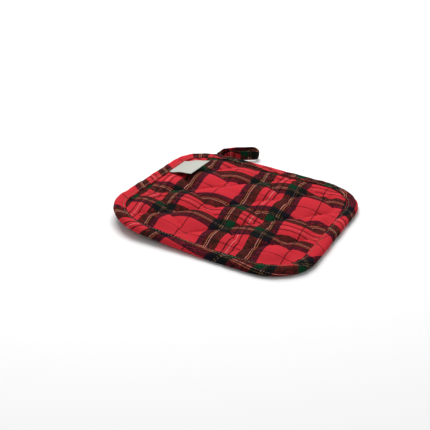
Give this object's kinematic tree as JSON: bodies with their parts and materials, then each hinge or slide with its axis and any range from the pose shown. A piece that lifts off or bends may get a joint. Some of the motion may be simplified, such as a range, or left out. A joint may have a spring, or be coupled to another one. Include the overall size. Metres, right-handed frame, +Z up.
{
  "type": "pot holder",
  "caption": "Square quilted pot holder with rounded corners, a bias-bound edge, a hanging loop at one corner and a blank care label.",
  "frame": {"origin": "middle of the whole part's footprint, on the surface it rests on", "axes": "+Z up from the resting face; +Y towards the side whose -X corner carries the hanging loop; +X along that side"},
  "size_m": [0.203, 0.2302, 0.0169],
  "materials": {
    "quilted_tartan": "woven cotton twill, red, green and navy tartan",
    "bias_binding": "the same tartan cut on the bias",
    "loop_tape": "the same tartan, folded double",
    "label_satin": "pale satin ribbon"
  },
  "bodies": {
    "root": {"quilted_pad": "quilted_tartan", "edge_binding": "bias_binding", "hanging_loop": "loop_tape", "care_label": "label_satin"}
  },
  "joints": []
}
